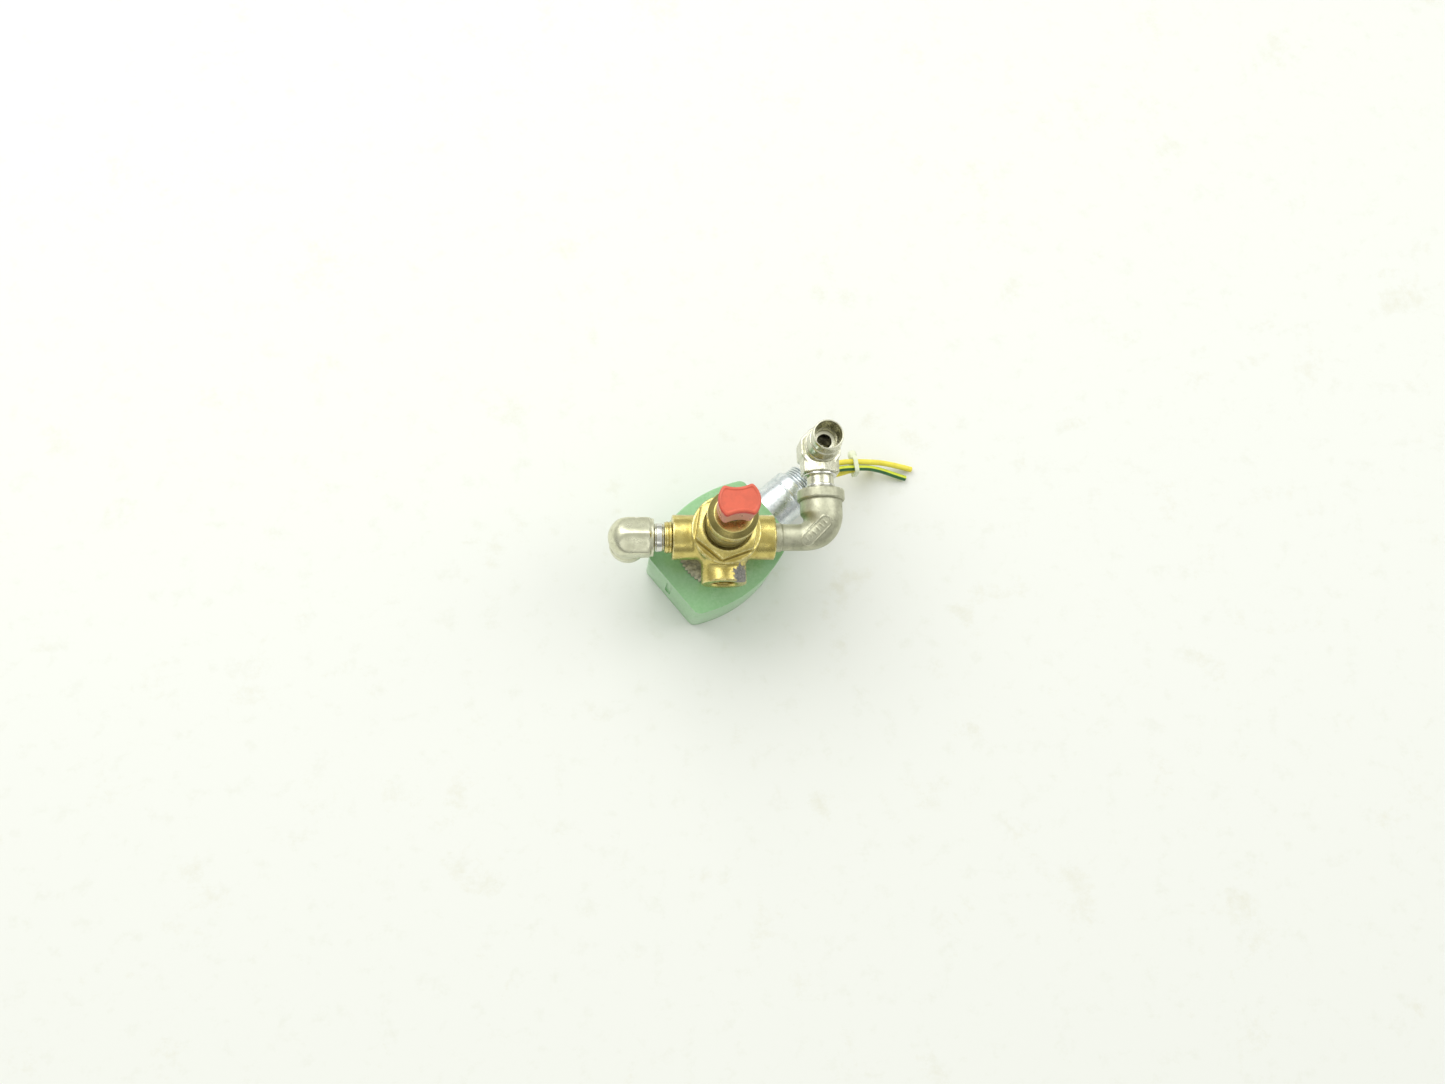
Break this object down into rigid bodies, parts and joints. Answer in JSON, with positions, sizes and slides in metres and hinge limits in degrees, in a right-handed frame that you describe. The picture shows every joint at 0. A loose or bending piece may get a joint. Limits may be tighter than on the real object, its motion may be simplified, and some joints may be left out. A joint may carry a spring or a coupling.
{
  "type": "three way valve",
  "caption": "Brass solenoid valve standing on its moulded coil housing, with elbow fittings, winged manual knob, conduit hub and lead wires.",
  "frame": {"origin": "on the valve's axis, in the flat outer face of the coil housing that the valve stands on", "axes": "+Z along the valve's axis from the coil housing to the knob, +X toward the street elbow, -Y toward the open port"},
  "size_m": [0.1545, 0.0856, 0.1229],
  "materials": {
    "green_moulding": "moulded, slightly scuffed",
    "plain_steel": "machined",
    "nylon": "natural nylon",
    "copper": "enamelled copper wire",
    "zinc": "bright zinc plating",
    "rubber": "black nitrile",
    "washer_steel": "dull, pinkish grey",
    "brass": "machined and cast brass, worn",
    "ring_rubber": "grey green",
    "red_plastic": "translucent red",
    "bright_chrome": "bright",
    "stainless": "satin",
    "cast_stainless": "cast, matt",
    "bright_stainless": "bright machined",
    "yellow_wire": "insulation",
    "striped_wire": "green insulation with a yellow stripe"
  },
  "bodies": {
    "solenoid": {"coil_housing": "green_moulding", "flux_yoke": "plain_steel", "coil_bobbin": "nylon", "coil_winding": "copper", "conduit_hub": "zinc", "hub_gasket": "rubber", "hub_locknut": "plain_steel", "lead_yellow": "yellow_wire", "lead_green": "striped_wire", "lead_yellow_short": "yellow_wire", "cable_tie": "nylon"},
    "valve": {"serrated_washer": "washer_steel", "retaining_clip": "plain_steel", "core_sleeve": "plain_steel", "fixed_core": "plain_steel", "solenoid_base": "plain_steel", "base_gasket": "rubber", "valve_body": "brass", "lower_seat": "brass", "upper_seat": "brass", "bonnet_gasket": "rubber", "hex_bonnet": "brass", "turret": "brass", "turret_ring": "ring_rubber", "left_adaptor": "brass", "left_nipple": "bright_chrome", "left_elbow": "stainless", "street_elbow": "cast_stainless", "tube_elbow": "bright_stainless"},
    "core": {"moving_core": "plain_steel", "core_spring": "plain_steel"},
    "stem": {"valve_stem": "plain_steel", "lower_seal": "rubber", "upper_seal": "rubber", "return_spring": "plain_steel"},
    "pin": {"push_pin": "plain_steel"},
    "knob": {"winged_knob": "red_plastic"}
  },
  "joints": [
    {"name": "valve_swivel", "type": "hinge", "parent": "solenoid", "child": "valve", "pos_m": [0, 0, 0.0355], "axis": [0, 0, 1], "continuous": true},
    {"name": "core_slide", "type": "slide", "parent": "valve", "child": "core", "axis": [0, 0, 1], "range_m": [-0.0016, 0], "deforming": ["core_spring"]},
    {"name": "stem_slide", "type": "slide", "parent": "valve", "child": "stem", "axis": [0, 0, 1], "range_m": [-0.0016, 0], "deforming": ["return_spring"]},
    {"name": "pin_push", "type": "slide", "parent": "valve", "child": "pin", "axis": [0, 0, 1], "range_m": [-0.002, 0]},
    {"name": "knob_turn", "type": "hinge", "parent": "pin", "child": "knob", "pos_m": [0, 0, 0.1118], "axis": [0, 0, 1], "continuous": true}
  ],
  "couplings": [
    {"joint": "stem_slide", "follows": "core_slide", "ratio": 1}
  ]
}
